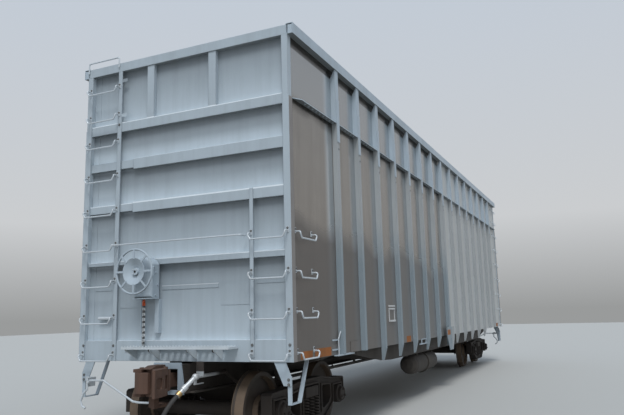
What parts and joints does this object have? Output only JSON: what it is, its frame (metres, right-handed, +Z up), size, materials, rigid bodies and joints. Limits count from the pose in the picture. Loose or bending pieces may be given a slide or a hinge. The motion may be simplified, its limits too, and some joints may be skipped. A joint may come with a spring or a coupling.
{
  "type": "high-sided gondola wagon",
  "caption": "High-sided open gondola rail wagon with posted metal sides, end ladders, swivelling two-axle trucks, turning wheelsets and couplers with swinging knuckles.",
  "frame": {"origin": "centre of the wagon in plan, at the lowest points of the wheel flanges", "axes": "+X along the wagon toward the end with no handbrake, +Y to the left of that, +Z up"},
  "size_m": [16.27, 3.25, 5.1448],
  "materials": {
    "grey_paint": "satin",
    "side_aluminium": "semi-gloss, streaked",
    "frame_black": "matt, dusty",
    "truck_casting": "matt",
    "coupler_casting": "rusty",
    "wheel_steel": "rusty tread",
    "bar_steel": "galvanised",
    "hose_rubber": "matt"
  },
  "bodies": {
    "carbody": {"air_reservoir": "frame_black", "body_bolster_a": "frame_black", "body_bolster_b": "frame_black", "brake_chain": "frame_black", "brake_cylinder": "frame_black", "brake_pipe": "bar_steel", "brake_platform": "bar_steel", "centre_sill": "frame_black", "corner_posts": "grey_paint", "coupler_a": "coupler_casting", "coupler_b": "coupler_casting", "cross_ties": "frame_black", "end_frame_a": "grey_paint", "end_frame_b": "grey_paint", "end_ladders_a": "bar_steel", "end_ladders_b": "bar_steel", "end_wall_a": "grey_paint", "end_wall_b": "grey_paint", "floor": "frame_black", "handbrake_housing": "grey_paint", "handwheel": "grey_paint", "hose_a": "hose_rubber", "hose_b": "hose_rubber", "hose_couplings": "bar_steel", "side_ladders_a": "bar_steel", "side_ladders_b": "bar_steel", "side_posts_left": "grey_paint", "side_posts_right": "grey_paint", "side_sheet_left": "side_aluminium", "side_sheet_right": "side_aluminium", "side_sill_left": "frame_black", "side_sill_right": "frame_black", "stirrups": "bar_steel", "strikers": "grey_paint", "top_chord_left": "grey_paint", "top_chord_right": "grey_paint", "uncoupling_levers": "bar_steel", "upper_posts_left": "grey_paint", "upper_posts_right": "grey_paint", "upper_sheet_left": "side_aluminium", "upper_sheet_right": "side_aluminium", "waist_rail_left": "grey_paint", "waist_rail_right": "grey_paint"},
    "truck_b": {"truck_frames_b": "truck_casting", "truck_springs_b": "truck_casting", "truck_bolster_b": "truck_casting"},
    "truck_a": {"truck_frames_a": "truck_casting", "truck_springs_a": "truck_casting", "truck_bolster_a": "truck_casting"},
    "knuckle_b": {"knuckle_b": "coupler_casting"},
    "knuckle_a": {"knuckle_a": "coupler_casting"},
    "wheelset_outer_b": {"wheels_outer_b": "wheel_steel", "axle_outer_b": "wheel_steel"},
    "wheelset_inner_b": {"wheels_inner_b": "wheel_steel", "axle_inner_b": "wheel_steel"},
    "wheelset_outer_a": {"wheels_outer_a": "wheel_steel", "axle_outer_a": "wheel_steel"},
    "wheelset_inner_a": {"wheels_inner_a": "wheel_steel", "axle_inner_a": "wheel_steel"}
  },
  "joints": [
    {"name": "truck_b_swivel", "type": "hinge", "parent": "carbody", "child": "truck_b", "pos_m": [-5.965, 0, 0.686], "axis": [0, 0, 1], "range_deg": [-6, 6]},
    {"name": "wheelset_outer_b_turn", "type": "hinge", "parent": "truck_b", "child": "wheelset_outer_b", "pos_m": [-6.854, 0, 0.482], "axis": [0, 1, 0], "continuous": true},
    {"name": "wheelset_inner_b_turn", "type": "hinge", "parent": "truck_b", "child": "wheelset_inner_b", "pos_m": [-5.076, 0, 0.482], "axis": [0, 1, 0], "continuous": true},
    {"name": "truck_a_swivel", "type": "hinge", "parent": "carbody", "child": "truck_a", "pos_m": [5.965, 0, 0.686], "axis": [0, 0, 1], "range_deg": [-6, 6]},
    {"name": "wheelset_outer_a_turn", "type": "hinge", "parent": "truck_a", "child": "wheelset_outer_a", "pos_m": [6.854, 0, 0.482], "axis": [0, 1, 0], "continuous": true},
    {"name": "wheelset_inner_a_turn", "type": "hinge", "parent": "truck_a", "child": "wheelset_inner_a", "pos_m": [5.076, 0, 0.482], "axis": [0, 1, 0], "continuous": true},
    {"name": "knuckle_b_swing", "type": "hinge", "parent": "carbody", "child": "knuckle_b", "pos_m": [-7.935, 0.122, 0.901], "axis": [0, 0, 1], "range_deg": [-40, 0]},
    {"name": "knuckle_a_swing", "type": "hinge", "parent": "carbody", "child": "knuckle_a", "pos_m": [7.935, -0.122, 0.901], "axis": [0, 0, 1], "range_deg": [-40, 0]}
  ]
}
